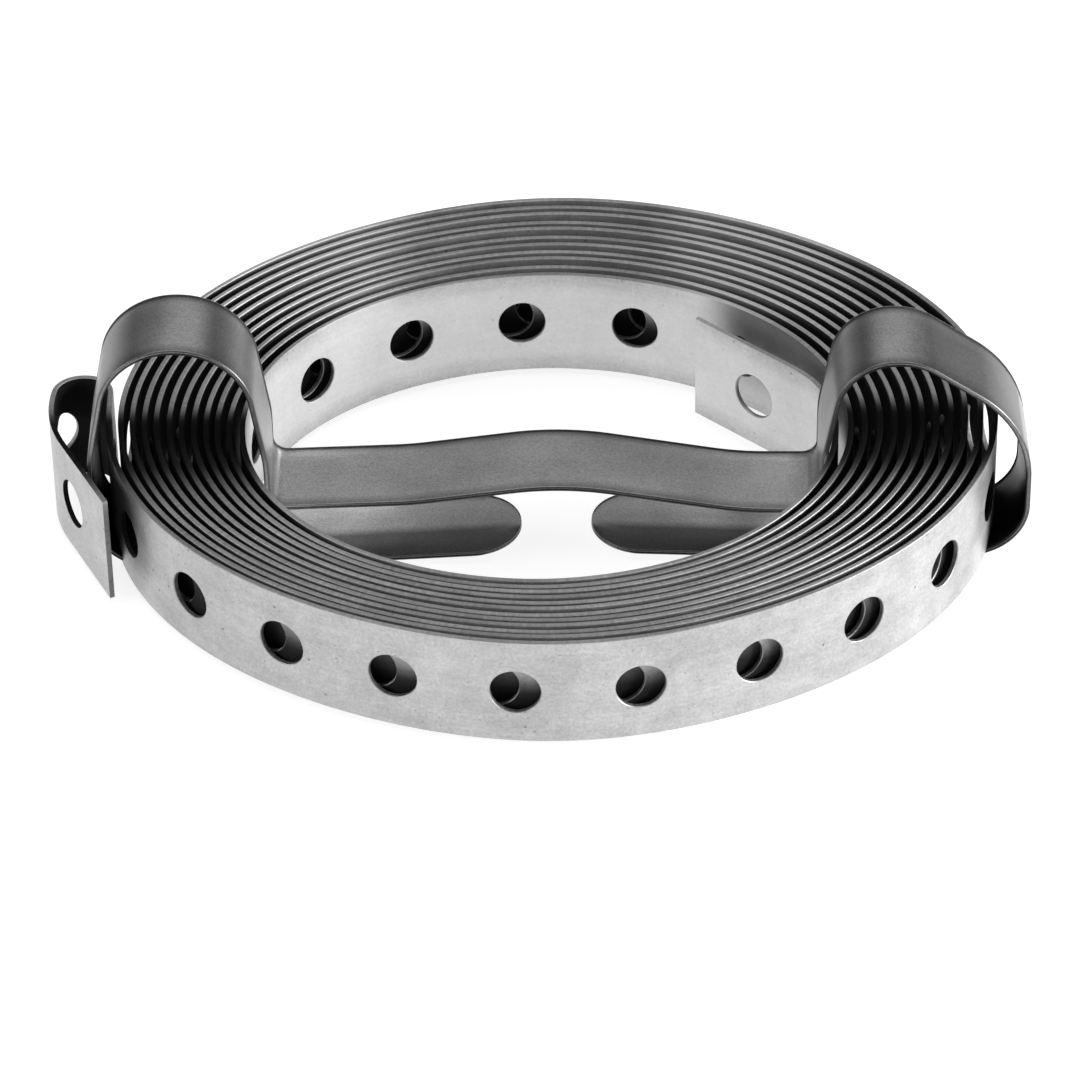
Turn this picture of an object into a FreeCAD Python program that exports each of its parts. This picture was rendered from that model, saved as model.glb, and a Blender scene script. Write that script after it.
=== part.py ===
import FreeCAD, Part
import math
import os

from FreeCAD import Vector

os.makedirs("parts", exist_ok=True)
doc = FreeCAD.newDocument("perforated_strap_coil")

# Sizes
# Millimetres, degrees, turns and shares. X runs along the clip, Y to the back and Z up.
# The places are given from near the middle of the bore. The finished pieces are then moved together,
# so that the origin is on the floor below the middle of the whole object.
# A loop's leans, roundness and drop and a bend of the bridge are shares of the width that they span.
# The strap starts at the right, and after FRONT_TURN it passes the front.
SIZES = (
    ("strap_width", 17.0),
    ("strap_thickness", 0.75),
    ("turns", 11.5),
    ("arcs_in_a_turn", 12),
    ("hole_diameter", 7.0),
    ("hole_pitch", 17.1),
    ("end_to_hole", 11.4),
    ("punch_clearance", 0.15),
    ("punched_inner_turns", 1.0),
    ("punched_outer_turns", 1.0),
    ("inner_half_length", 41.84),
    ("inner_half_depth", 36.18),
    ("inner_shift_x", -1.4),
    ("inner_shift_y", -3.6),
    ("inner_fullness", 2.42),
    ("turn_gap_at_sides", 1.232),
    ("turn_gap_at_front", 0.934),
    ("outer_shift_x", 0.4),
    ("outer_shift_y", 0.45),
    ("outer_fullness", 3.1),
    ("inner_end_length", 26.0),
    ("inner_end_turn", 46.0),
    ("inner_end_lead", 7.8),
    ("inner_end_radius", 18.0),
    ("tail_length", 22.0),
    ("tail_angle", 26.0),
    ("tail_overhang", 13.7),
    ("tail_radius", 22.0),
    ("curl_depth", 10.4),
    ("curl_lean", 1.2),
    ("curl_radius", 3.9),
    ("clip_width", 14.0),
    ("clip_thickness", 0.8),
    ("clip_middle_y", -6.0),
    ("clip_clearance", 0.3),
    ("outer_leg_gap_left", 1.6),
    ("outer_leg_gap_right", 2.7),
    ("outer_leg_rise", 1.0),
    ("inner_leg_gap_left", 1.0),
    ("bottom_corner_radius", 8.2),
    ("bridge_corner_radius", 2.5),
    ("bridge_height_left", 10.3),
    ("bridge_height_right", 8.4),
    ("bridge_bend_left", 0.5),
    ("bridge_lift_left", 0.5),
    ("bridge_bend_right", 0.7),
    ("bridge_lift_right", 0.2),
    ("bridge_bow", 3.2),
    ("bridge_bow_x", 1.2),
    ("bridge_bow_radius", 45.0),
    ("loop_height_left", 20.0),
    ("loop_height_right", 16.2),
    ("loop_outer_lean_left", 0.15),
    ("loop_inner_lean_left", 0.12),
    ("loop_inner_lean_right", 0.1),
    ("loop_shoulder_right", 0.45),
    ("loop_roundness_left", 0.43),
    ("loop_roundness_right", 0.29),
    ("loop_roundness_shoulder", 0.326),
    ("loop_roundness_slope", 0.598),
    ("loop_slope_drop", 0.388),
    ("leg_bend_radius", 20.0),
    ("tip_gap", 10.0),
    ("tip_middle_x", 0.4),
    ("tip_rise", 1.5),
    ("tip_bend_inset", 3.0),
    ("tip_bend_radius", 60.0),
    ("trim_clearance", 0.8),
)
SIDES = {"left": -1, "right": 1}
FRONT_TURN = 0.25
sheet = doc.addObject("Spreadsheet::Sheet", "Sizes")
for row, (alias, value) in enumerate(SIZES, start=1):
    sheet.set(f"A{row}", alias)
    sheet.set(f"B{row}", str(value))
    sheet.setAlias(f"B{row}", alias)
doc.recompute()


def size(alias):
    """The value that the sheet holds under this name."""
    return float(sheet.get(alias))


# Bent strips
# A path lies in the XY plane and is a list of pieces. A piece holds its start, middle and end stations,
# with no middle where it is straight. A station is a point and the unit vector to the left of the path.
def left_of(direction):
    """The unit vector to the left of a direction."""
    return Vector(-direction.y, direction.x, 0).normalize()


def turned(direction, degrees):
    """A direction turned to the left."""
    angle = math.radians(degrees)
    across = Vector(-direction.y, direction.x, 0)
    return direction * math.cos(angle) + across * math.sin(angle)


def straight(start, end):
    """A straight piece of path."""
    side = left_of(end - start)
    return ((start, side), None, (end, side))


def bend(corner, before, after, radius):
    """The arc that rounds a corner between two directions, tangent to both."""
    half_turn = before.getAngle(after) / 2
    start = corner - before * radius * math.tan(half_turn)
    end = corner + after * radius * math.tan(half_turn)
    to_left = before.cross(after).z > 0
    inward = left_of(before) if to_left else -left_of(before)
    centre = start + inward * radius
    middle = centre + (corner - centre).normalize() * radius
    side = (centre - middle if to_left else middle - centre).normalize()
    return ((start, left_of(before)), (middle, side), (end, left_of(after)))


def bent_path(start, corners, end):
    """Straight runs from start to end, with each corner, a point and a radius, rounded by an arc."""
    points = [start] + [corner for corner, radius in corners] + [end]
    headings = [(b - a).normalize() for a, b in zip(points, points[1:])]
    path = []
    here = start
    for index, (corner, radius) in enumerate(corners):
        arc = bend(corner, headings[index], headings[index + 1], radius)
        path += [straight(here, arc[0][0]), arc]
        here = arc[2][0]
    return path + [straight(here, end)]


def offset_edge(piece, offset):
    """The edge that runs beside a piece of path, this far to its left."""
    points = [station[0] + station[1] * offset for station in piece if station]
    if len(points) == 2:
        return Part.LineSegment(*points).toShape()
    return Part.Arc(*points).toShape()


def strip_section(path, thickness):
    """The face of a strip of this thickness that is bent along the path."""
    left = [offset_edge(piece, thickness / 2) for piece in path]
    right = [offset_edge(piece, -thickness / 2) for piece in path]
    ends = [
        Part.LineSegment(a.valueAt(a.ParameterRange[end]), b.valueAt(b.ParameterRange[end])).toShape()
        for a, b, end in ((left[0], right[0], 0), (left[-1], right[-1], 1))
    ]
    return Part.Face(Part.Wire(Part.__sortEdges__(left + right + ends)))


# Strap path
def between(inner, outer, share):
    """The value at this share of the way from the innermost turn's value to the outermost turn's."""
    return inner + (outer - inner) * share


def wound(inner, gap):
    """The outermost turn's half size: the innermost one's, and all the turns and gaps outside it."""
    return size(inner) + math.floor(size("turns")) * (size("strap_thickness") + size(gap))


def coil_point(turn):
    """The strap's middle line after this many turns, clockwise from the right and growing outwards."""
    share = (turn - FRONT_TURN) / math.floor(size("turns"))
    edge = size("strap_thickness") * (1 - 2 * share) / 2
    outer_half_length = wound("inner_half_length", "turn_gap_at_sides")
    outer_half_depth = wound("inner_half_depth", "turn_gap_at_front")
    half_length = between(size("inner_half_length"), outer_half_length, share) + edge
    half_depth = between(size("inner_half_depth"), outer_half_depth, share) + edge
    fullness = between(size("inner_fullness"), size("outer_fullness"), share)
    angle = -2 * math.pi * turn
    reach = half_depth + (half_length - half_depth) * abs(math.cos(angle)) ** fullness
    shift_x = between(size("inner_shift_x"), size("outer_shift_x"), share)
    shift_y = between(size("inner_shift_y"), size("outer_shift_y"), share)
    return Vector(shift_x, shift_y, 0) + Vector(math.cos(angle), math.sin(angle), 0) * reach


def coil_heading(turn):
    """The direction of the strap after this many turns."""
    step = 1e-5
    return (coil_point(turn + step) - coil_point(turn - step)).normalize()


def coil_path():
    """The wound turns, as arcs that share their ends and their directions there."""
    count = round(size("turns") * size("arcs_in_a_turn"))
    stations = []
    for index in range(2 * count + 1):
        turn = size("turns") * index / (2 * count)
        stations.append((coil_point(turn), left_of(coil_heading(turn))))
    return [tuple(stations[index : index + 3]) for index in range(0, 2 * count, 2)]


def inner_end_path():
    """The free inner end: a flat stretch that cuts across the bore and bends into the first turn."""
    first = coil_point(0)
    heading = coil_heading(0)
    corner = first - heading * size("inner_end_lead")
    start = corner - turned(heading, size("inner_end_turn")) * size("inner_end_length")
    return bent_path(start, [(corner, size("inner_end_radius"))], first)


def outer_end_path():
    """The free outer end, curled back round the clip's outer leg and along it to the front."""
    last = coil_point(size("turns"))
    heading = coil_heading(size("turns"))
    half_strap = size("strap_thickness") / 2
    run = turned(Vector(0, -1, 0), size("tail_angle"))
    leg_edge = Vector(clip_outer_x("left"), size("clip_middle_y") - size("clip_width") / 2, 0)
    beside_leg = leg_edge - left_of(run) * (size("clip_clearance") + half_strap)
    bulge = beside_leg - run * size("tail_overhang")
    curl_far = bulge + Vector(size("curl_lean"), size("curl_depth"), 0)
    curl_near = last + heading * ((curl_far.y - last.y) / heading.y)
    corners = [
        (curl_near, size("curl_radius")),
        (curl_far, size("curl_radius")),
        (bulge, size("tail_radius")),
    ]
    return bent_path(last, corners, bulge + run * size("tail_length"))


# Clip path
def coil_side_x(side):
    """The outermost face of the coil on this side, at its middle."""
    return size("outer_shift_x") + SIDES[side] * wound("inner_half_length", "turn_gap_at_sides")


def bore_side_x(side):
    """The innermost face of the coil on this side, beside the clip's front edge."""
    front_y = size("clip_middle_y") - size("clip_width") / 2
    depth = (front_y - size("inner_shift_y")) / size("inner_half_depth")
    return size("inner_shift_x") + SIDES[side] * size("inner_half_length") * math.sqrt(1 - depth**2)


def clip_outer_x(side):
    """The outer face of the clip's outer leg on this side."""
    return coil_side_x(side) + SIDES[side] * (size(f"outer_leg_gap_{side}") + size("clip_thickness"))


def left_loop(inner_x, outer_x, coil_top):
    """The corners of the left loop, from the clip's bottom outside the coil to the bridge."""
    low = size("clip_thickness") / 2
    top = coil_top + size("loop_height_left") - low
    width = inner_x - outer_x
    radius = width * size("loop_roundness_left")
    return [
        (Vector(outer_x, low, 0), size("bottom_corner_radius")),
        (Vector(outer_x, coil_top + size("outer_leg_rise"), 0), size("leg_bend_radius")),
        (Vector(outer_x + width * size("loop_outer_lean_left"), top, 0), radius),
        (Vector(inner_x - width * size("loop_inner_lean_left"), top, 0), radius),
        (Vector(inner_x, coil_top, 0), size("leg_bend_radius")),
        (Vector(inner_x, size("bridge_height_left"), 0), size("bridge_corner_radius")),
    ]


def bridge(left_x, right_x):
    """The bends of the bridge across the bore, which bows up a little left of its middle."""
    left_height = size("bridge_height_left")
    right_height = size("bridge_height_right") + size("bridge_lift_right")
    left_bend = Vector(left_x * size("bridge_bend_left"), left_height + size("bridge_lift_left"), 0)
    bow = Vector(size("bridge_bow_x"), left_height + size("bridge_bow"), 0)
    right_bend = Vector(right_x * size("bridge_bend_right"), right_height, 0)
    return [(corner, size("bridge_bow_radius")) for corner in (left_bend, bow, right_bend)]


def right_loop(inner_x, outer_x, coil_top):
    """The corners of the right loop, whose top slopes down from a shoulder to the outer leg."""
    low = size("clip_thickness") / 2
    top = coil_top + size("loop_height_right") - low
    width = outer_x - inner_x
    radius = width * size("loop_roundness_right")
    inner_top_x = inner_x + width * size("loop_inner_lean_right")
    shoulder_x = inner_x + width * size("loop_shoulder_right")
    slope_foot = top - width * size("loop_slope_drop")
    return [
        (Vector(inner_x, size("bridge_height_right"), 0), size("bridge_corner_radius")),
        (Vector(inner_x, coil_top, 0), size("leg_bend_radius")),
        (Vector(inner_top_x, top, 0), radius),
        (Vector(shoulder_x, top, 0), width * size("loop_roundness_shoulder")),
        (Vector(outer_x, slope_foot, 0), width * size("loop_roundness_slope")),
        (Vector(outer_x, low, 0), size("bottom_corner_radius")),
    ]


def clip_path():
    """The clip from its left tip: under the coil, over it, across the bore, and the same again to the right.

    The path is drawn with the height as its second coordinate.
    """
    half = size("clip_thickness") / 2
    coil_top = size("clip_thickness") + size("strap_width")
    left_outer = clip_outer_x("left") + half
    right_outer = clip_outer_x("right") - half
    left_inner = bore_side_x("left") + size("inner_leg_gap_left") + half
    right_inner = bore_side_x("right") - size("clip_clearance") - half
    left_tip = Vector(size("tip_middle_x") - size("tip_gap") / 2, half + size("tip_rise"), 0)
    right_tip = Vector(size("tip_middle_x") + size("tip_gap") / 2, half + size("tip_rise"), 0)
    left_bend = (Vector(left_inner + size("tip_bend_inset"), half, 0), size("tip_bend_radius"))
    right_bend = (Vector(right_inner - size("tip_bend_inset"), half, 0), size("tip_bend_radius"))
    corners = (
        [left_bend]
        + left_loop(left_inner, left_outer, coil_top)
        + bridge(left_inner, right_inner)
        + right_loop(right_inner, right_outer, coil_top)
        + [right_bend]
    )
    return bent_path(left_tip, corners, right_tip)


# Strap
def punch(edge, along):
    """A short cylinder through the strap's wall, this far along an edge of its middle line."""
    at = edge.getParameterByLength(along)
    point = edge.valueAt(at)
    radius = size("hole_diameter") / 2
    reach = size("strap_thickness") / 2 + size("punch_clearance")
    inward = left_of(edge.tangentAt(at))
    hollow = 0
    if hasattr(edge.Curve, "Radius"):
        inward = (edge.Curve.Center - point).normalize()
        inside = edge.Curve.Radius - size("strap_thickness") / 2
        hollow = inside - math.sqrt(inside**2 - radius**2)
    return Part.makeCylinder(radius, 2 * reach + hollow, point - inward * reach, inward)


def punches(path):
    """Cylinders for the holes of the turns that show, at the strap's pitch from its inner end."""
    edges = [offset_edge(piece, 0) for piece in path]
    arcs = size("arcs_in_a_turn")
    inner_edges = round(size("punched_inner_turns") * arcs) + len(inner_end_path())
    outer_edges = round(size("punched_outer_turns") * arcs) + len(outer_end_path())
    tools = []
    walked = 0
    next_hole = size("end_to_hole")
    for index, edge in enumerate(edges):
        while next_hole <= walked + edge.Length:
            if index < inner_edges or index >= len(edges) - outer_edges:
                tools.append(punch(edge, next_hole - walked))
            next_hole += size("hole_pitch")
        walked += edge.Length
    return Part.makeCompound(tools)


strap_path = inner_end_path() + coil_path() + outer_end_path()
strap_outline = doc.addObject("Part::Feature", "strap_outline")
strap_outline.Shape = strip_section(strap_path, size("strap_thickness"))

strap_wound = doc.addObject("Part::Extrusion", "strap_wound")
strap_wound.Base = strap_outline
strap_wound.DirMode = "Custom"
strap_wound.Dir = Vector(0, 0, 1)
strap_wound.setExpression("LengthFwd", "Sizes.strap_width")
strap_wound.setExpression("Placement.Base.z", "Sizes.clip_thickness")
strap_wound.Solid = True

strap_punches = doc.addObject("Part::Feature", "strap_punches")
strap_punches.Shape = punches(strap_path)
strap_punches.setExpression("Placement.Base.z", "Sizes.clip_thickness + Sizes.strap_width / 2")

strap = doc.addObject("Part::Cut", "perforated_strap")
strap.Label = "perforated_strap"
strap.Base = strap_wound
strap.Tool = strap_punches

# Clip
clip_outline = doc.addObject("Part::Feature", "clip_outline")
clip_outline.Shape = strip_section(clip_path(), size("clip_thickness"))
clip_outline.Placement = FreeCAD.Placement(
    Vector(0, size("clip_middle_y") + size("clip_width") / 2, 0), FreeCAD.Rotation(Vector(1, 0, 0), 90)
)

clip_strip = doc.addObject("Part::Extrusion", "clip_strip")
clip_strip.Base = clip_outline
clip_strip.DirMode = "Custom"
clip_strip.Dir = Vector(0, -1, 0)
clip_strip.setExpression("LengthFwd", "Sizes.clip_width")
clip_strip.Solid = True


def tip_trim(side):
    """What is cut from the strip's end on this side to leave it round."""
    end_x = f"(Sizes.tip_middle_x + ({SIDES[side]}) * Sizes.tip_gap / 2)"
    round_x = f"({end_x} + ({SIDES[side]}) * Sizes.clip_width / 2)"
    height = "Sizes.tip_rise + Sizes.clip_thickness + 2 * Sizes.trim_clearance"
    block = doc.addObject("Part::Box", f"tip_block_{side}")
    block.setExpression("Length", "Sizes.clip_width / 2 + Sizes.trim_clearance")
    block.setExpression("Width", "Sizes.clip_width + 2 * Sizes.trim_clearance")
    block.setExpression("Height", height)
    low_x = round_x if side == "left" else f"{end_x} - Sizes.trim_clearance"
    block.setExpression("Placement.Base.x", low_x)
    low_y = "Sizes.clip_middle_y - Sizes.clip_width / 2 - Sizes.trim_clearance"
    block.setExpression("Placement.Base.y", low_y)
    block.setExpression("Placement.Base.z", "-Sizes.trim_clearance")
    disc = doc.addObject("Part::Cylinder", f"tip_disc_{side}")
    disc.setExpression("Radius", "Sizes.clip_width / 2")
    disc.setExpression("Height", height)
    disc.setExpression("Placement.Base.x", round_x)
    disc.setExpression("Placement.Base.y", "Sizes.clip_middle_y")
    disc.setExpression("Placement.Base.z", "-Sizes.trim_clearance")
    trim = doc.addObject("Part::Cut", f"tip_trim_{side}")
    trim.Base = block
    trim.Tool = disc
    return trim


tip_trims = doc.addObject("Part::Compound", "tip_trims")
tip_trims.Links = [tip_trim("left"), tip_trim("right")]
clip = doc.addObject("Part::Cut", "binding_clip")
clip.Label = "binding_clip"
clip.Base = clip_strip
clip.Tool = tip_trims
doc.recompute()

# Origin
bounds = FreeCAD.BoundBox(strap.Shape.BoundBox)
bounds.add(clip.Shape.BoundBox)
for piece in (strap, clip):
    piece.Placement.Base = Vector(-bounds.Center.x, -bounds.Center.y, 0)
doc.recompute()

# Checks and files
for item in doc.Objects:
    if "Invalid" in item.State or "Error" in item.State:
        raise RuntimeError(f"{item.Name} failed: {item.State}")
for piece in (strap, clip):
    if piece.Shape.isNull() or not piece.Shape.isValid() or len(piece.Shape.Solids) != 1:
        raise RuntimeError(f"{piece.Label} is not one valid solid")
    piece.Shape.exportStep(f"parts/{piece.Label}.step")
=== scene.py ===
import bpy
import math
import numpy as np
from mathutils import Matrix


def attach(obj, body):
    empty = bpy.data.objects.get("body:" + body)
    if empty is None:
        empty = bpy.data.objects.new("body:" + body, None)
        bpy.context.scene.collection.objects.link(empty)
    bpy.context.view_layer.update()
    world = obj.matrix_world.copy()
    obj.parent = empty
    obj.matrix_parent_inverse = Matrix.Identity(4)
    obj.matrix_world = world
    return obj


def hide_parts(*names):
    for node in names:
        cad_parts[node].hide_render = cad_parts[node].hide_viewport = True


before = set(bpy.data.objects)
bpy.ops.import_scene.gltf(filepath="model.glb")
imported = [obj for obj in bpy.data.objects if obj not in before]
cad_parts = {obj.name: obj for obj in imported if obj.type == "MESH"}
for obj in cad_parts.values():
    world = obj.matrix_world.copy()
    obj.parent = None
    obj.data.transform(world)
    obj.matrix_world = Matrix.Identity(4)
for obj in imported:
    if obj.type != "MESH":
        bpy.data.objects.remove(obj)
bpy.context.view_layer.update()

# The object is drawn in millimetres. The floor, the lamps and the camera are in metres.
MM = 0.001
# From the drawing's middle to the CAD frame's
SHIFT = np.array([2.57875, 0.02574])

STRAP_WIDTH = 17.0
STRAP_THICKNESS = 0.75
HOLE_RADIUS = 3.5
HOLE_PITCH = 17.1
END_TO_HOLE = 11.4
CLIP_WIDTH = 14.0
CLIP_THICKNESS = 0.8
CLIP_MIDDLE_Y = -6.0

# The coil grows from an oval bore to an oval outline. It first passes the front at FRONT_TURN.
TURNS = 11.5
WHOLE_TURNS = math.floor(TURNS)
FRONT_TURN = 0.25
SIDE_GAP = 1.232
FRONT_GAP = 0.934
INNER_HALF_LENGTH = 41.84
INNER_HALF_DEPTH = 36.18
INNER_FULLNESS = 2.42
INNER_MIDDLE = (-1.4, -3.6)
OUTER_HALF_LENGTH = INNER_HALF_LENGTH + WHOLE_TURNS * (STRAP_THICKNESS + SIDE_GAP)
OUTER_HALF_DEPTH = INNER_HALF_DEPTH + WHOLE_TURNS * (STRAP_THICKNESS + FRONT_GAP)
OUTER_FULLNESS = 3.1
OUTER_MIDDLE = (0.4, 0.45)
TURN_POINTS = 720
HEADING_STEP = 1e-5

# The free inner end: an easy bend, then a straight run. Turns of direction are in degrees.
INNER_END_LEAD = 7.8
INNER_END_TURN = 46.0
INNER_END_RADIUS = 18.0
INNER_END_RUN = 26.0
INNER_END_STEP = 0.3

# The outer end: a tight curl, a gentle bulge and a straight tail past the clip's left leg
CURL_RADIUS = 3.9
BULGE_TO_CURL = (1.2, 10.4)
BULGE_RADIUS = 22.0
BULGE_TO_LEG = 13.7
TAIL_TURN = 26.0
TAIL_RUN = 22.0
TAIL_GAP = 0.3
OUTER_END_STEP = 0.2

# The clip's gaps to the coil, on its outer sides and in the bore
LEFT_GAP = 1.6
RIGHT_GAP = 2.7
LEFT_BORE_GAP = 1.0
RIGHT_BORE_GAP = 0.3
CLIP_LEFT = OUTER_MIDDLE[0] - OUTER_HALF_LENGTH - LEFT_GAP - CLIP_THICKNESS
CLIP_RIGHT = OUTER_MIDDLE[0] + OUTER_HALF_LENGTH + RIGHT_GAP + CLIP_THICKNESS

# Its bends: the tips rise from the runs under the coil, and the loops stand over the coil's top.
LEFT_TIP = -4.6
RIGHT_TIP = 5.4
TIP_RISE = 1.5
TIP_BEND = 3.0
TIP_RADIUS = 60.0
FOOT_RADIUS = 8.2
LEG_RADIUS = 20.0
LEG_RISE = 1.0
LEFT_LOOP_RISE = 20.0
RIGHT_LOOP_RISE = 16.2
BRIDGE_END_RADIUS = 2.5
BRIDGE_RADIUS = 45.0
# The bridge's heights at its left end, its left bend, its top, its right bend and its right end
BRIDGE_HEIGHTS = (10.3, 10.8, 13.5, 8.6, 8.4)
BRIDGE_TOP = 1.2
LEFT_BEND_SHARE = 0.5
RIGHT_BEND_SHARE = 0.7
# Shares of a loop's width: how far from its side a bend stands, and the bend's radius
LEFT_LOOP_OUTER_BEND = (0.15, 0.43)
LEFT_LOOP_INNER_BEND = (0.12, 0.43)
RIGHT_LOOP_INNER_BEND = (0.1, 0.29)
RIGHT_LOOP_MIDDLE_BEND = (0.45, 0.326)
RIGHT_LOOP_OUTER_BEND = (0.388, 0.598)
CLIP_STEP = 0.15


# Paths
def unit(vector):
    return vector / np.linalg.norm(vector)


def left_of(direction):
    return np.array([-direction[1], direction[0]])


def turned(direction, degrees):
    angle = math.radians(degrees)
    return direction * math.cos(angle) + left_of(direction) * math.sin(angle)


def between(inner, outer, share):
    return inner + (outer - inner) * share


def bent_line(start, corners, end, step):
    """Points along straight runs whose corners, each a point and a radius, are rounded by arcs."""
    points = [start] + [corner for corner, radius in corners] + [end]
    line = [start]
    for before, (corner, radius), after in zip(points, corners, points[2:]):
        into = unit(corner - before)
        out = unit(after - corner)
        cross = into[0] * out[1] - into[1] * out[0]
        angle = math.acos(max(-1.0, min(1.0, float(into @ out))))
        side = math.copysign(1.0, cross)
        arc_start = corner - into * radius * math.tan(angle / 2)
        centre = arc_start + left_of(into) * side * radius
        spoke = arc_start - centre
        count = max(2, math.ceil(angle * radius / step))
        for index in range(count + 1):
            swept = side * angle * index / count
            line.append(centre + spoke * math.cos(swept) + left_of(spoke) * math.sin(swept))
    line.append(end)
    return line


def coil_point(turn):
    """The strap's middle at a turn of the coil. The ovals are its innermost and outermost face."""
    share = (turn - FRONT_TURN) / WHOLE_TURNS
    edge = STRAP_THICKNESS * (1 - 2 * share) / 2
    half_length = between(INNER_HALF_LENGTH, OUTER_HALF_LENGTH, share) + edge
    half_depth = between(INNER_HALF_DEPTH, OUTER_HALF_DEPTH, share) + edge
    fullness = between(INNER_FULLNESS, OUTER_FULLNESS, share)
    angle = -2 * math.pi * turn
    reach = half_depth + (half_length - half_depth) * abs(math.cos(angle)) ** fullness
    middle = np.array([between(*ends, share) for ends in zip(INNER_MIDDLE, OUTER_MIDDLE)])
    return middle + np.array([math.cos(angle), math.sin(angle)]) * reach


def coil_heading(turn):
    return unit(coil_point(turn + HEADING_STEP) - coil_point(turn - HEADING_STEP))


def strap_line():
    """Points along the middle of the strap, from its free inner end to its curled outer end."""
    first = coil_point(0)
    heading = coil_heading(0)
    corner = first - heading * INNER_END_LEAD
    start = corner - turned(heading, INNER_END_TURN) * INNER_END_RUN
    line = bent_line(start, [(corner, INNER_END_RADIUS)], first, INNER_END_STEP)
    count = round(TURNS * TURN_POINTS)
    line += [coil_point(TURNS * index / count) for index in range(1, count)]

    last = coil_point(TURNS)
    heading = coil_heading(TURNS)
    run = turned(np.array([0.0, -1.0]), TAIL_TURN)
    leg_edge = np.array([CLIP_LEFT, CLIP_MIDDLE_Y - CLIP_WIDTH / 2])
    bulge = leg_edge - left_of(run) * (TAIL_GAP + STRAP_THICKNESS / 2) - run * BULGE_TO_LEG
    curl_far = bulge + np.array(BULGE_TO_CURL)
    curl_near = last + heading * ((curl_far[1] - last[1]) / heading[1])
    corners = [(curl_near, CURL_RADIUS), (curl_far, CURL_RADIUS), (bulge, BULGE_RADIUS)]
    line += bent_line(last, corners, bulge + run * TAIL_RUN, OUTER_END_STEP)
    return np.array(line)


def clip_line():
    """Points along the middle of the clip's strip, as sideways place and height."""
    half = CLIP_THICKNESS / 2
    coil_top = CLIP_THICKNESS + STRAP_WIDTH
    depth = (CLIP_MIDDLE_Y - CLIP_WIDTH / 2 - INNER_MIDDLE[1]) / INNER_HALF_DEPTH
    bore = INNER_HALF_LENGTH * math.sqrt(1 - depth**2)
    left_outer = CLIP_LEFT + half
    left_inner = INNER_MIDDLE[0] - bore + LEFT_BORE_GAP + half
    right_inner = INNER_MIDDLE[0] + bore - RIGHT_BORE_GAP - half
    right_outer = CLIP_RIGHT - half

    left_top = coil_top + LEFT_LOOP_RISE - half
    left_width = left_inner - left_outer
    left_bends = [
        (left_outer + left_width * LEFT_LOOP_OUTER_BEND[0], left_width * LEFT_LOOP_OUTER_BEND[1]),
        (left_inner - left_width * LEFT_LOOP_INNER_BEND[0], left_width * LEFT_LOOP_INNER_BEND[1]),
    ]
    right_top = coil_top + RIGHT_LOOP_RISE - half
    right_width = right_outer - right_inner
    right_bends = [
        (right_inner + right_width * share, right_width * radius)
        for share, radius in (RIGHT_LOOP_INNER_BEND, RIGHT_LOOP_MIDDLE_BEND)
    ]
    slope_drop, slope_radius = (right_width * share for share in RIGHT_LOOP_OUTER_BEND)

    left_bend = left_inner * LEFT_BEND_SHARE
    right_bend = right_inner * RIGHT_BEND_SHARE
    bridge = zip(
        (left_inner, left_bend, BRIDGE_TOP, right_bend, right_inner),
        BRIDGE_HEIGHTS,
        (BRIDGE_END_RADIUS, BRIDGE_RADIUS, BRIDGE_RADIUS, BRIDGE_RADIUS, BRIDGE_END_RADIUS),
    )

    corners = [
        (left_inner + TIP_BEND, half, TIP_RADIUS),
        (left_outer, half, FOOT_RADIUS),
        (left_outer, coil_top + LEG_RISE, LEG_RADIUS),
        *((x, left_top, radius) for x, radius in left_bends),
        (left_inner, coil_top, LEG_RADIUS),
        *bridge,
        (right_inner, coil_top, LEG_RADIUS),
        *((x, right_top, radius) for x, radius in right_bends),
        (right_outer, right_top - slope_drop, slope_radius),
        (right_outer, half, FOOT_RADIUS),
        (right_inner - TIP_BEND, half, TIP_RADIUS),
    ]
    corners = [(np.array([x, z]), radius) for x, z, radius in corners]
    left_tip = np.array([LEFT_TIP, half + TIP_RISE])
    right_tip = np.array([RIGHT_TIP, half + TIP_RISE])
    return np.array(bent_line(left_tip, corners, right_tip, CLIP_STEP))


class Line:
    """A line that gives the point and the heading at a distance from its start."""

    def __init__(self, points):
        steps = np.linalg.norm(np.diff(points, axis=0), axis=1)
        keep = np.concatenate([[True], steps > 1e-7])
        self.points = points[keep]
        steps = np.linalg.norm(np.diff(self.points, axis=0), axis=1)
        self.along = np.concatenate([[0.0], np.cumsum(steps)])
        self.length = self.along[-1]

    def at(self, along):
        axes = [np.interp(along, self.along, self.points[:, axis]) for axis in range(2)]
        return np.stack(axes, axis=-1)

    def heading(self, along, reach=0.25):
        ahead = self.at(np.minimum(along + reach, self.length))
        behind = self.at(np.maximum(along - reach, 0.0))
        run = ahead - behind
        return run / np.linalg.norm(run, axis=-1, keepdims=True)

    def side(self, along):
        heading = self.heading(along)
        return np.stack([-heading[:, 1], heading[:, 0]], 1)


# Meshes
SHARP_ANGLE = 32


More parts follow.
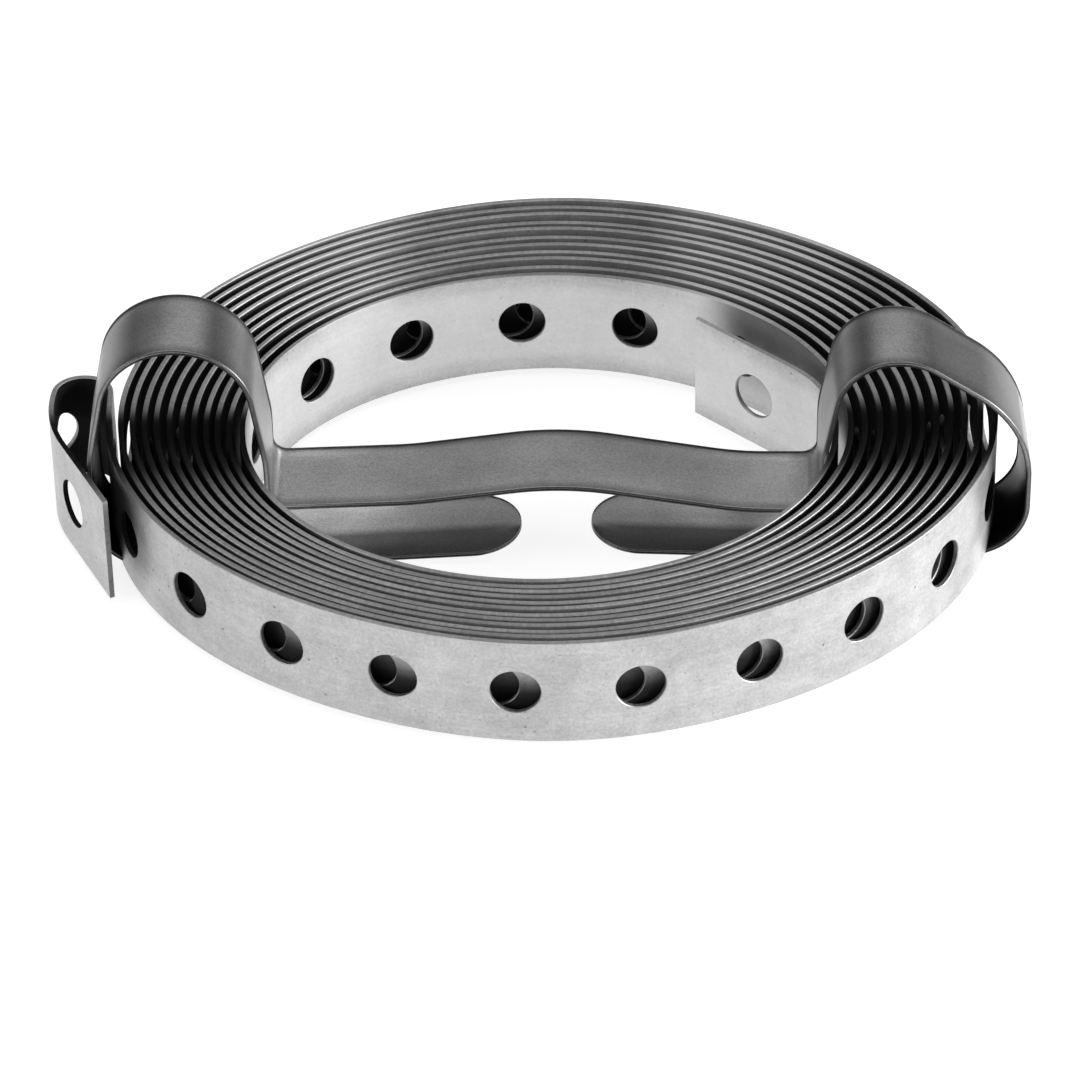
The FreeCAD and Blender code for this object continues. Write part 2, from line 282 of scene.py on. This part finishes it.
def make_mesh(name, vertices, faces, materials, indices, strip, painted_light_and_shade):
    """An object from vertices in millimetres. Each keeps its place on the strip and its painted
    light and shade.
    """
    used = np.unique(faces)
    renumber = np.zeros(len(vertices), int)
    renumber[used] = np.arange(len(used))
    mesh = bpy.data.meshes.new(name)
    mesh.from_pydata((vertices[used] * MM).tolist(), [], renumber[faces].tolist())
    for material in materials:
        mesh.materials.append(material)
    mesh.polygons.foreach_set("material_index", np.asarray(indices, dtype=np.int32))
    mesh.polygons.foreach_set("use_smooth", np.ones(len(faces), dtype=bool))
    layer = mesh.attributes.new("strip", "FLOAT_VECTOR", "POINT")
    layer.data.foreach_set("vector", (strip[used] * MM).astype(np.float32).ravel())
    for label, values in painted_light_and_shade.items():
        layer = mesh.attributes.new(label, "FLOAT", "POINT")
        layer.data.foreach_set("value", values[used].astype(np.float32))
    mesh.set_sharp_from_angle(angle=math.radians(SHARP_ANGLE))
    mesh.update()
    piece = bpy.data.objects.new(name, mesh)
    bpy.context.scene.collection.objects.link(piece)
    return piece


# The strap's bevel, the half side of the square of quads round each hole, and the rows across it.
# A span of quads has columns beside its square and in it, and more of both in the curled end.
BEVEL = 0.11
SQUARE = 5.2
SQUARE_ROWS = 8
COLUMNS = (3, 8)
FINE_COLUMNS = (7, 20)
FINE_LENGTH = 52
ZINC_SLOT = 0
EDGE_SLOT = 1


def strap_columns(length):
    """The columns along the strip, and each hole's square: first column, column count and place."""
    holes = np.arange(END_TO_HOLE, length - HOLE_PITCH / 3, HOLE_PITCH)
    columns = [0.0]
    squares = []
    for index, hole in enumerate(holes):
        low = 0.0 if index == 0 else hole - HOLE_PITCH / 2
        high = length if index == len(holes) - 1 else hole + HOLE_PITCH / 2
        beside, inside = FINE_COLUMNS if hole > length - FINE_LENGTH else COLUMNS
        left = np.linspace(low, hole - SQUARE, beside + 1)[1:]
        centre = np.linspace(hole - SQUARE, hole + SQUARE, inside + 1)[1:]
        right = np.linspace(hole + SQUARE, high, beside + 1)[1:]
        squares.append((len(columns) - 1 + beside, inside, hole))
        columns += list(left) + list(centre) + list(right)
    return np.array(columns), squares


def strap_geometry(length):
    """Vertices as (along, across, through), quads and their slots, for the whole punched strip."""
    half_width = STRAP_WIDTH / 2
    half_thick = STRAP_THICKNESS / 2
    inset = half_thick - BEVEL
    columns, squares = strap_columns(length)
    inner_rows = np.linspace(-SQUARE, SQUARE, SQUARE_ROWS + 1)
    rows = np.concatenate([[-half_width + BEVEL], inner_rows, [half_width - BEVEL]])
    row_count = len(rows)

    # A column has the front face's rows, the back face's, and four vertices on its two edges.
    edge_across = [half_width, half_width, -half_width, -half_width]
    edge_through = [inset, -inset, inset, -inset]
    front_through = np.full(row_count, half_thick)
    stride = 2 * row_count + 4
    grid = np.empty((len(columns), stride, 3))
    grid[:, :, 0] = columns[:, None]
    grid[:, :, 1] = np.concatenate([rows, rows, edge_across])[None, :]
    grid[:, :, 2] = np.concatenate([front_through, -front_through, edge_through])[None, :]
    places = [grid.reshape(-1, 3)]
    total = len(columns) * stride
    front_high = row_count - 1
    back_low, back_high = row_count, 2 * row_count - 1
    high_front, high_back, low_front, low_back = range(2 * row_count, stride)
    last = len(columns) - 1

    quads = []
    slots = []

    def add(four, slot):
        quads.append(np.asarray(four).reshape(-1, 4))
        slots.append(np.full(len(quads[-1]), slot))

    def ladder(first, second, slot, start, stop):
        """Quads between two rows, from one column to another."""
        index = np.arange(start, stop) * stride
        first, second = index + first, index + second
        add(np.stack([first, second, second + stride, first + stride], 1), slot)

    # Both faces, with the squares left open
    for row in range(row_count - 1):
        spans = [(0, last)]
        if 1 <= row <= row_count - 3:
            starts = [0] + [begin + inside for begin, inside, hole in squares]
            stops = [begin for begin, inside, hole in squares] + [last]
            spans = list(zip(starts, stops))
        for start, stop in spans:
            ladder(row, row + 1, ZINC_SLOT, start, stop)
            ladder(back_low + row + 1, back_low + row, ZINC_SLOT, start, stop)

    # The long edges with their bevels
    for first, second in (
        (front_high, high_front),
        (high_front, high_back),
        (high_back, back_high),
        (low_front, 0),
        (low_back, low_front),
        (back_low, low_back),
    ):
        ladder(first, second, EDGE_SLOT, 0, last)

    # The two ends
    for column, flip in ((0, False), (last, True)):
        cap = [
            [row, back_low + row, back_low + row + 1, row + 1] for row in range(row_count - 1)
        ]
        cap.append([front_high, back_high, high_back, high_front])
        cap.append([back_low, 0, low_front, low_back])
        cap = np.array(cap) + column * stride
        add(cap[:, ::-1] if flip else cap, EDGE_SLOT)

    # The holes: from the square of the front face through bevelled rings to that of the back face
    quarter = math.pi / 2
    low_row, high_row = 1, SQUARE_ROWS + 1
    for begin, inside, hole in squares:
        end = begin + inside
        path = (
            [(column, low_row) for column in range(begin, end)]
            + [(end, row) for row in range(low_row, high_row)]
            + [(column, high_row) for column in range(end, begin, -1)]
            + [(begin, row) for row in range(high_row, low_row, -1)]
        )
        angles = np.concatenate(
            [
                (side - 1.5) * quarter + quarter * np.arange(count) / count
                for side, count in enumerate((inside, SQUARE_ROWS, inside, SQUARE_ROWS))
            ]
        )
        count = len(angles)
        square = np.array([column * stride + row for column, row in path])
        rings = []
        for radius, depth in (
            (HOLE_RADIUS + BEVEL, half_thick),
            (HOLE_RADIUS, inset),
            (HOLE_RADIUS, -inset),
            (HOLE_RADIUS + BEVEL, -half_thick),
        ):
            x, y = hole + radius * np.cos(angles), radius * np.sin(angles)
            places.append(np.stack([x, y, np.full(count, depth)], 1))
            rings.append(total + np.arange(count))
            total += count
        chain = [square] + rings + [square + back_low]
        for outer, inner in zip(chain, chain[1:]):
            flat = outer is square or inner is chain[-1]
            four = np.stack([outer, inner, np.roll(inner, -1), np.roll(outer, -1)], 1)
            add(four, ZINC_SLOT if flat else EDGE_SLOT)
    return np.concatenate(places), np.concatenate(quads), np.concatenate(slots)


# Waves in the turns' gaps and heights, as size, pace and phase. They are calm at both ends.
GAP_WAVES = ((0.09, 5.3, 1.0), (0.06, 13.7, 2.0))
HEIGHT_WAVES = ((0.10, 3.1, 0.0), (0.06, 7.9, 0.7))
WAVE_LENGTH = 300.0
CALM_START = 120
CALM_END = 360
CALM_BLEND = 200


def waves(along, shapes):
    turn = along / WAVE_LENGTH
    return sum(size * np.sin(turn * pace + phase) for size, pace, phase in shapes)


def wound_vertices(line, places):
    """Where the strip's vertices lie once it is wound."""
    along, across, through = places.T
    calm = np.clip((along - CALM_START) / CALM_BLEND, 0, 1)
    calm = calm * np.clip((line.length - CALM_END - along) / CALM_BLEND, 0, 1)
    offset = through + waves(along, GAP_WAVES) * calm
    flat = line.at(along) + line.side(along) * offset[:, None] + SHIFT
    middle = CLIP_THICKNESS + STRAP_WIDTH / 2
    height = middle + across + waves(along, HEIGHT_WAVES) * calm
    return np.column_stack([flat, height])


CLIP_ROUNDING = 0.22
CORNER_POINTS = 4
FACE_POINTS = 7
TIP_POINTS = 18
TIP_START = 0.06
GRID = 0.1
STRAIGHT_DENSITY = 0.35
BEND_DENSITY = 16


def clip_stations(line):
    """Places along the clip: close together in its bends and near its round tips."""
    tip = CLIP_WIDTH / 2
    grid = np.arange(0, line.length, GRID)
    heading = line.heading(grid)
    angles = np.unwrap(np.arctan2(heading[:, 1], heading[:, 0]))
    density = STRAIGHT_DENSITY + BEND_DENSITY * (np.abs(np.diff(angles)) / GRID)
    total = np.concatenate([[0], np.cumsum(density * GRID)])
    stations = np.interp(np.linspace(0, total[-1], math.ceil(total[-1]) + 1), total, grid)
    stations = stations[(stations > tip) & (stations < line.length - tip)]
    ends = tip * (1 - np.cos(np.linspace(TIP_START, math.pi / 2, TIP_POINTS)))
    return np.concatenate([ends, stations, (line.length - ends)[::-1]])


def clip_geometry(line):
    """The clip's vertices, quads and places on its strip."""
    tip = CLIP_WIDTH / 2
    half = CLIP_THICKNESS / 2
    stations = clip_stations(line)
    reach = np.minimum(stations, line.length - stations)
    inside = np.clip((tip - reach) / tip, 0, 1)
    half_widths = tip * np.sqrt(1 - inside**2)

    # Each point of the section: a share of the half width, the rounding's angle or None, the face
    corner = np.linspace(0, math.pi / 2, CORNER_POINTS)
    flat = np.linspace(-1, 1, FACE_POINTS + 2)[1:-1]
    section = (
        [(1, angle, 1) for angle in corner[::-1]]
        + [(share, None, 1) for share in flat[::-1]]
        + [(-1, angle, 1) for angle in corner]
        + [(-1, angle, -1) for angle in corner[::-1]]
        + [(share, None, -1) for share in flat]
        + [(1, angle, -1) for angle in corner]
    )
    across = []
    through = []
    for share, angle, face in section:
        if angle is None:
            across.append(share * (half_widths - CLIP_ROUNDING))
            depth = face * half
        else:
            rounding = CLIP_ROUNDING * math.cos(angle)
            across.append(share * (half_widths - CLIP_ROUNDING + rounding))
            depth = face * (half - CLIP_ROUNDING + CLIP_ROUNDING * math.sin(angle))
        through.append(np.full(len(stations), depth))
    across = np.stack(across, 1)
    through = np.stack(through, 1)

    size = len(section)
    place = line.at(stations)
    side = line.side(stations)
    x = place[:, 0, None] + side[:, 0, None] * through + SHIFT[0]
    z = place[:, 1, None] + side[:, 1, None] * through
    y = CLIP_MIDDLE_Y + across + SHIFT[1]
    vertices = np.stack([x, y, z], -1).reshape(-1, 3)
    along = np.repeat(stations[:, None], size, 1)
    strip = np.stack([along, across, through], -1).reshape(-1, 3)

    index = np.arange((len(stations) - 1) * size).reshape(-1, size)
    following = np.roll(index, -1, 1)
    quads = np.stack([index, index + size, following + size, following], -1).reshape(-1, 4)
    caps = []
    for base, flip in ((0, False), ((len(stations) - 1) * size, True)):
        for k in range(size // 2 - 1):
            four = [base + k, base + k + 1, base + size - 2 - k, base + size - 1 - k]
            caps.append(four[::-1] if flip else four)
    return vertices, np.concatenate([quads, np.array(caps)]), strip


# Painted light and shade kept on the vertices. A BAND is two values: a shade is 0 at the first and
# 1 at the second.
# Painted shade between the turns, painted lighter towards their upper edges where light comes in
CROSSWISE_BAND = (0.85, 0.35)
FACE_LIT_BAND = (-2.0, 3.5)
FACE_RIM_BAND = (5.0, 7.8)
LIT_SHARE = 0.4
LIT_SHARE_NEAR = 0.9
RIM_SHARE = 0.5
TURN_BLEND = 0.02

# Painted shadow of the free inner end on the upper part of the wall behind it
BEHIND_END = 0.6
BEHIND_END_BAND = (0.846, 0.885)
BEHIND_END_STOP = 1.1
BEHIND_END_RISE_BAND = (-1.0, 4.0)

# Painted shadow on the turns right under the clip's loops
UNDER_LOOP_BACK_BAND = (3.0, -2.5)
UNDER_LOOP_FRONT_BAND = (-25.0, -12.0)
UNDER_LOOP_SIDE_BAND = (30.0, 42.0)

# Painted highlights on the strap: its inner face, streaks on the edges at the back, and the gaps'
# rims
GLINT = 0.45
GLINT_RIM = 0.7
GLINT_RIM_BAND = (6.0, 7.8)
EDGE_FROM = 8.3
HIGHLIGHT_INNER_BAND = (14.0, 26.0)
HIGHLIGHT_OUTER_BAND = (52.0, 42.0)
HIGHLIGHT_BACK_BAND = (15.0, 28.0)

# Painted shade and reflection on the clip: low on its outer legs, on the tongues' fronts and on the
# loops' steep flanks; its edges darker
LEG_LOW_BAND = (17.0, 14.5)
LEG_START_BAND = (45, 55)
LEG_STOP_BAND = (95, 90)
TONGUE = 0.75
TONGUE_FRONT_BAND = (-0.3, -1.8)
TONGUE_STOP_BAND = (40, 36)
CLIP_EDGE = 0.75
CLIP_EDGE_BAND = (6.7, 6.9)
FLANK = 0.55
FLANK_STEEP_BAND = (0.97, 0.85)
FLANK_LEVEL_BAND = (0.1, 0.4)
FLANK_FROM = 20


def smooth(low, high, value):
    share = np.clip((value - low) / (high - low), 0, 1)
    return share * share * (3 - 2 * share)


def coil_index(line, turn):
    return np.linalg.norm(line.points - coil_point(turn), axis=1).argmin()


def crosswise(line, along):
    """1 where the coil runs sideways, at the front and the back, and 0 where it runs in depth."""
    return smooth(*CROSSWISE_BAND, np.abs(line.heading(along)[:, 1]))


def outer_faces(turn, through, count):
    """1 on the outer sides of so many last turns and on the inner sides of so many first ones."""
    last = smooth(TURNS - (count + TURN_BLEND), TURNS - (count - TURN_BLEND), turn)
    first = 1 - smooth(count - TURN_BLEND, count + TURN_BLEND, turn)
    return np.where(through > 0, last, first)


def painted_shadow_under_loops(vertices):
    """Painted shadow: the band across the turns that lies in the dark right under each loop of the
    clip.
    """
    x, y, _ = vertices.T
    depth = smooth(*UNDER_LOOP_BACK_BAND, y) * smooth(*UNDER_LOOP_FRONT_BAND, y)
    return depth * smooth(*UNDER_LOOP_SIDE_BAND, np.abs(x))


def painted_strap_shade(line, vertices, places):
    """Painted shade on the strap, from 0 to 1: as far as each vertex is shut in between its
    neighbours, painted lighter towards the turns' upper edges, and dark inside the curl.
    """
    along, across, through = places.T
    first = coil_index(line, 0.0)
    last = coil_index(line, TURNS)
    stations = np.linspace(0, TURNS, last - first + 1)
    turn = np.interp(along, line.along[first : last + 1], stations, left=-1, right=TURNS + 1)
    free_end = turn < 0
    curled_end = turn > TURNS
    open_face = np.where(free_end, 1, outer_faces(turn, through, 1))
    open_face = np.where(curled_end, through <= 0, open_face)
    near_face = outer_faces(turn, through, 2)
    facing = crosswise(line, along)
    # Painted light: the painted shade eases towards the upper edges of the front and back turns,
    # more so on the second turn
    lit = smooth(*FACE_LIT_BAND, across) * facing
    rim = smooth(*FACE_RIM_BAND, across) * facing
    deep = (1 - LIT_SHARE * lit - RIM_SHARE * rim) * (1 - near_face)
    deep = deep + (1 - LIT_SHARE_NEAR * lit) * near_face
    # Painted shadow under the loops, on the buried faces
    deep = np.maximum(deep, painted_shadow_under_loops(vertices))
    # Painted shade: the curl's inner side is dark all over
    deep = np.where(curled_end, 1, deep) * (1 - open_face)
    # Painted shadow of the free inner end on the wall behind it
    behind_end = smooth(*BEHIND_END_BAND, turn) * smooth(*BEHIND_END_RISE_BAND, across)
    behind_end = behind_end * (turn < BEHIND_END_STOP) * (through < 0)
    return np.maximum(deep, BEHIND_END * behind_end)


def painted_strap_highlights(line, vertices, places):
    """Painted highlights on the strap: its inner face, streaks on the edges at the back, and the
    gaps' rims, all painted lighter.
    """
    along, across, through = places.T
    x, y, _ = vertices.T
    first_turn = line.along[coil_index(line, 1.0)]
    last_turn = line.along[coil_index(line, TURNS - 1.0)]
    buried = np.where(through > 0, along < last_turn, along > first_turn)
    # Painted highlight along the rims of the buried turns' gaps
    rims = GLINT_RIM * smooth(*GLINT_RIM_BAND, across) * buried * crosswise(line, along)
    # The first turn's inner face, painted lighter
    inner_face = (through < 0) & (along < first_turn) & (np.abs(across) < EDGE_FROM)
    # Painted highlight streaks on the edges at the back
    edge_highlight = smooth(*HIGHLIGHT_INNER_BAND, np.abs(x)) * smooth(*HIGHLIGHT_OUTER_BAND, np.abs(x))
    edge_highlight = GLINT * edge_highlight * smooth(*HIGHLIGHT_BACK_BAND, y)
    return np.where(inner_face, GLINT, np.where(across > EDGE_FROM, edge_highlight, rims))


def painted_clip_shade(line, vertices, places):
    """Painted shade on the clip, from 0 to 1: shade and reflection painted low on its outer legs
    and on its tongues' fronts, shade painted on its loops' flanks, and its edges darker.
    """
    along, across, through = places.T
    height = vertices[:, 2]
    end = np.minimum(along, line.length - along)
    # Painted shade and reflection low on the inner side of the outer legs
    leg = smooth(*LEG_LOW_BAND, height) * smooth(*LEG_START_BAND, end)
    leg = leg * smooth(*LEG_STOP_BAND, end)
    # Painted reflection and shade on the tongues' fronts
    tongue = TONGUE * smooth(*TONGUE_FRONT_BAND, across) * smooth(*TONGUE_STOP_BAND, end)
    edge = CLIP_EDGE * smooth(*CLIP_EDGE_BAND, np.abs(across))
    level = np.abs(line.heading(along)[:, 0])
    # Painted shade on the steep outer flanks of the loops
    flank = FLANK * smooth(*FLANK_STEEP_BAND, level) * smooth(*FLANK_LEVEL_BAND, level)
    flank = flank * (height > FLANK_FROM) * (through > 0)
    inner_side = np.maximum(leg, tongue) * (through < 0)
    return np.maximum(inner_side, np.maximum(edge, flank))


# Materials. A pattern lies on the strip's places, which are in metres along, across and through.
# It is scaled to millimetres, and drawn out where a scale is smaller.
EVEN = (1000.0, 1000.0, 1000.0)
STREAKED = (120.0, 1600.0, 1000.0)
ROLLED = (260.0, 1500.0, 1000.0)
DRAWN = (900.0, 900.0, 120.0)
BUMP_DISTANCE = 0.0001
ROUGHNESS_IN_PAINTED_SHADE = 0.95
# Each kind of dark speck: the scale of its cells, its size and the share of cells that have one
SPECKS = ((0.42, 0.075, 0.45), (1.1, 0.10, 0.3))
SPECK_STRENGTH = 0.75
SPECK_TONE = 0.12


def grey(value):
    return (value, value, value, 1)


def set_input(tree, socket, value):
    """Gives a socket a number, a colour or the link from another node's socket."""
    if isinstance(value, bpy.types.NodeSocket):
        tree.links.new(value, socket)
    else:
        socket.default_value = value


def node(tree, kind, inputs=None, **settings):
    """A node with its settings and inputs."""
    made = tree.nodes.new(kind)
    for name, value in settings.items():
        setattr(made, name, value)
    for name, value in (inputs or {}).items():
        set_input(tree, made.inputs[name], value)
    return made


def ramp(tree, factor, stops):
    """Grey values at places of a factor."""
    made = node(tree, "ShaderNodeValToRGB", {"Fac": factor})
    while len(made.color_ramp.elements) < len(stops):
        made.color_ramp.elements.new(0.5)
    for element, (position, value) in zip(made.color_ramp.elements, stops):
        element.position = position
        element.color = grey(value)
    return made.outputs["Color"]


def mix(tree, factor, first, second, blend="MIX"):
    made = node(tree, "ShaderNodeMix", data_type="RGBA", blend_type=blend)
    for index, value in ((0, factor), (6, first), (7, second)):
        set_input(tree, made.inputs[index], value)
    return made.outputs[2]


def noise(tree, vector, scale, detail, roughness=0.5):
    inputs = {"Vector": vector, "Scale": scale, "Detail": detail, "Roughness": roughness}
    return node(tree, "ShaderNodeTexNoise", inputs).outputs["Fac"]


def cells(tree, vector, scale):
    inputs = {"Vector": vector, "Scale": scale, "Randomness": 1.0}
    return node(tree, "ShaderNodeTexVoronoi", inputs).outputs


def spread(tree, pattern, dark, light, margin=0.3):
    """Grey from dark to light over the middle of a noise's range."""
    return ramp(tree, pattern, [(margin, dark), (1 - margin, light)])


def strip_place(tree, scale):
    place = node(tree, "ShaderNodeAttribute", attribute_name="strip").outputs["Vector"]
    scaled = node(tree, "ShaderNodeVectorMath", {0: place, 1: scale}, operation="MULTIPLY")
    return scaled.outputs["Vector"]


def shade(tree, tone, label, aim):
    """The tone, brought to a grey as far as the painted value of that label on the vertices says:
    painted highlights bring it to a light grey, painted shade to a dark one.
    """
    share = node(tree, "ShaderNodeAttribute", attribute_name=label).outputs["Fac"]
    return mix(tree, share, tone, grey(aim))


def new_material(name):
    material = bpy.data.materials.new(name)
    material.use_nodes = True
    tree = material.node_tree
    return material, tree, tree.nodes["Principled BSDF"]


def finish_metal(tree, shader, tone, rough, metallic, grain, relief):
    """Sets a metal's tone, roughness and metallic share, and its grain as fine relief."""
    tree.links.new(tone, shader.inputs["Base Color"])
    tree.links.new(rough, shader.inputs["Roughness"])
    shader.inputs["Metallic"].default_value = metallic
    inputs = {"Height": grain, "Strength": relief, "Distance": BUMP_DISTANCE}
    bump = node(tree, "ShaderNodeBump", inputs)
    tree.links.new(bump.outputs["Normal"], shader.inputs["Normal"])


def galvanised():
    """Hot-dipped zinc: soft flakes, fine grain, streaks along the rolling and small dark specks."""
    material, tree, shader = new_material("galvanised_strap")
    flat = strip_place(tree, EVEN)
    flakes = cells(tree, flat, scale=0.8)["Color"]
    clouds = noise(tree, flat, scale=0.12, detail=4.0, roughness=0.6)
    grain = noise(tree, flat, scale=2.2, detail=4.0, roughness=0.75)
    streaks = noise(tree, strip_place(tree, STREAKED), scale=0.9, detail=3.0)
    tone = spread(tree, clouds, 0.40, 0.54)
    tone = mix(tree, 0.6, tone, spread(tree, flakes, 0.46, 0.54, margin=0.0), "OVERLAY")
    tone = mix(tree, 0.3, tone, spread(tree, streaks, 0.42, 0.58), "OVERLAY")
    tone = mix(tree, 0.6, tone, spread(tree, grain, 0.36, 0.64), "OVERLAY")
    for scale, size, share in SPECKS:
        speck = cells(tree, flat, scale)
        spot = ramp(tree, speck["Distance"], [(size * 0.6, 1.0), (size * 1.5, 0.0)])
        chosen = ramp(tree, speck["Color"], [(share, 1.0), (share + 0.05, 0.0)])
        dots = mix(tree, 1.0, spot, chosen, "MULTIPLY")
        dots = mix(tree, 1.0, dots, grey(SPECK_STRENGTH), "MULTIPLY")
        tone = mix(tree, dots, tone, grey(SPECK_TONE))
    # Painted highlight: lighter where the vertices say
    tone = shade(tree, tone, "painted_highlight", 0.84)
    # Painted shade: near black, and rougher, where the vertices say
    tone = shade(tree, tone, "painted_shade", 0.03)
    rough = shade(tree, spread(tree, clouds, 0.38, 0.46), "painted_shade", ROUGHNESS_IN_PAINTED_SHADE)
    finish_metal(tree, shader, tone, rough, metallic=0.9, grain=grain, relief=0.2)
    return material


def sheared():
    """The slit edge and the punched walls: bare darker steel, drawn through the thickness."""
    material, tree, shader = new_material("sheared_edge")
    grain = noise(tree, strip_place(tree, DRAWN), scale=1.7, detail=3.0, roughness=0.7)
    clouds = noise(tree, strip_place(tree, EVEN), scale=0.06, detail=3.0)
    tone = spread(tree, grain, 0.24, 0.38)
    tone = mix(tree, 0.8, tone, spread(tree, clouds, 0.38, 0.62, margin=0.35), "OVERLAY")
    # Painted highlight streaks on the edges at the back
    tone = shade(tree, tone, "painted_highlight", 0.8)
    # Painted shadow under the clip's loops, where the steel is also rougher
    tone = shade(tree, tone, "painted_loop_shadow", 0.02)
    rough = shade(tree, spread(tree, grain, 0.46, 0.6), "painted_loop_shadow", ROUGHNESS_IN_PAINTED_SHADE)
    finish_metal(tree, shader, tone, rough, metallic=0.9, grain=grain, relief=0.2)
    return material


def clip_steel():
    """Plain cold-rolled strip: darker, with a fine rolled grain."""
    material, tree, shader = new_material("clip_steel")
    flat = strip_place(tree, EVEN)
    grain = noise(tree, flat, scale=3.0, detail=3.0, roughness=0.7)
    streaks = noise(tree, strip_place(tree, ROLLED), scale=1.2, detail=4.0, roughness=0.65)
    clouds = noise(tree, flat, scale=0.11, detail=3.0)
    tone = spread(tree, clouds, 0.34, 0.43)
    tone = mix(tree, 0.25, tone, spread(tree, streaks, 0.40, 0.60), "OVERLAY")
    tone = mix(tree, 0.9, tone, spread(tree, grain, 0.35, 0.65), "OVERLAY")
    # Painted shade and reflection on the clip
    tone = shade(tree, tone, "painted_shade", 0.02)
    rough = spread(tree, grain, 0.34, 0.4)
    finish_metal(tree, shader, tone, rough, metallic=0.95, grain=grain, relief=0.15)
    return material


zinc = galvanised()
edge_steel = sheared()
steel = clip_steel()

strap_run = Line(strap_line())
places, quads, slots = strap_geometry(strap_run.length)
vertices = wound_vertices(strap_run, places)
# Painted shade, painted shadow under the loops and painted highlights on the strap
painted_light_and_shade = {
    "painted_shade": painted_strap_shade(strap_run, vertices, places),
    "painted_loop_shadow": painted_shadow_under_loops(vertices),
    "painted_highlight": painted_strap_highlights(strap_run, vertices, places),
}
strap = make_mesh("wound_strap", vertices, quads, [zinc, edge_steel], slots, places, painted_light_and_shade)
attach(strap, "root")
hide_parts("perforated_strap")

clip_run = Line(clip_line())
vertices, quads, places = clip_geometry(clip_run)
# Painted shade and reflection on the clip
painted_light_and_shade = {"painted_shade": painted_clip_shade(clip_run, vertices, places)}
clip = make_mesh("bent_clip", vertices, quads, [steel], np.zeros(len(quads)), places, painted_light_and_shade)
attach(clip, "root")
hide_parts("binding_clip")

for name, material in (("perforated_strap", zinc), ("binding_clip", steel)):
    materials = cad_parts[name].data.materials
    materials.clear()
    materials.append(material)


# Floor, light and camera
FLOOR_SIZE = 6.0
FLOOR_HEIGHT = -0.0002
# A horizontal direction's height is 0 and the zenith's is 1.
SKY = [(0.0, 0.6), (0.1, 0.42), (0.22, 0.28), (0.36, 0.15), (0.75, 0.12), (1.0, 0.2)]
# Name, place, size and power
LAMPS = (
    ("key", (0.95, -0.2, 0.22), (0.8, 0.35), 22.0),
    ("back", (0.05, 0.85, 0.62), (0.6, 0.4), 0.35),
    ("top", (0, 0.1, 0.9), (1.1, 0.9), 4.2),
    ("fill", (-0.95, -0.35, 0.35), (0.6, 0.4), 5.0),
)
CAMERA_PLACE = (0.00257875, -0.61195, 0.45951)
CAMERA_ANGLES = (52.8265, 0.8192, -0.3301)
CAMERA_LENS = 178.77
CAMERA_SENSOR = 36.0
CAMERA_NEAR = 0.01


def floor_material():
    """Pale for the light on the object, and white with the object's shadow where it is seen."""
    material, tree, shader = new_material("floor")
    tree.nodes.remove(shader)
    lit = node(tree, "ShaderNodeBsdfDiffuse", {"Color": grey(0.8)})
    glow = node(tree, "ShaderNodeEmission", {"Color": grey(1.0), "Strength": 0.84})
    dim = node(tree, "ShaderNodeBsdfDiffuse", {"Color": grey(0.35)})
    seen = node(tree, "ShaderNodeAddShader", {0: glow.outputs[0], 1: dim.outputs[0]})
    path = node(tree, "ShaderNodeLightPath")
    rays = path.outputs["Is Camera Ray"]
    for kind in ("Is Glossy Ray", "Is Transmission Ray"):
        either = node(tree, "ShaderNodeMath", {0: rays, 1: path.outputs[kind]}, operation="MAXIMUM")
        rays = either.outputs[0]
    both = node(tree, "ShaderNodeMixShader", {0: rays, 1: lit.outputs[0], 2: seen.outputs[0]})
    tree.links.new(both.outputs[0], tree.nodes["Material Output"].inputs["Surface"])
    return material


def soft_light(name, place, size, power):
    """A rectangular lamp that faces the object."""
    lamp = bpy.data.lights.new(name, "AREA")
    lamp.shape = "RECTANGLE"
    lamp.size, lamp.size_y = size
    lamp.energy = power
    holder = bpy.data.objects.new(name, lamp)
    bpy.context.scene.collection.objects.link(holder)
    holder.location = place
    x, y, z = place
    holder.rotation_euler = (math.atan2(math.hypot(x, y), z), 0, math.atan2(x, -y))


bpy.ops.mesh.primitive_plane_add(size=FLOOR_SIZE, location=(0, 0, FLOOR_HEIGHT))
floor = bpy.context.object
floor.name = "floor"
floor.data.materials.append(floor_material())

world = bpy.data.worlds.new("studio")
bpy.context.scene.world = world
world.use_nodes = True
tree = world.node_tree
direction = node(tree, "ShaderNodeTexCoord").outputs["Generated"]
height = node(tree, "ShaderNodeSeparateXYZ", {0: direction}).outputs["Z"]
background = tree.nodes["Background"]
tree.links.new(ramp(tree, height, SKY), background.inputs["Color"])
background.inputs["Strength"].default_value = 1.0

for lamp in LAMPS:
    soft_light(*lamp)

camera_data = bpy.data.cameras.new("camera")
camera_data.sensor_width = CAMERA_SENSOR
camera_data.lens = CAMERA_LENS
camera_data.clip_start = CAMERA_NEAR
camera = bpy.data.objects.new("camera", camera_data)
bpy.context.scene.collection.objects.link(camera)
camera.location = CAMERA_PLACE
camera.rotation_euler = [math.radians(value) for value in CAMERA_ANGLES]
bpy.context.scene.camera = camera
bpy.context.scene.view_settings.view_transform = "Standard"
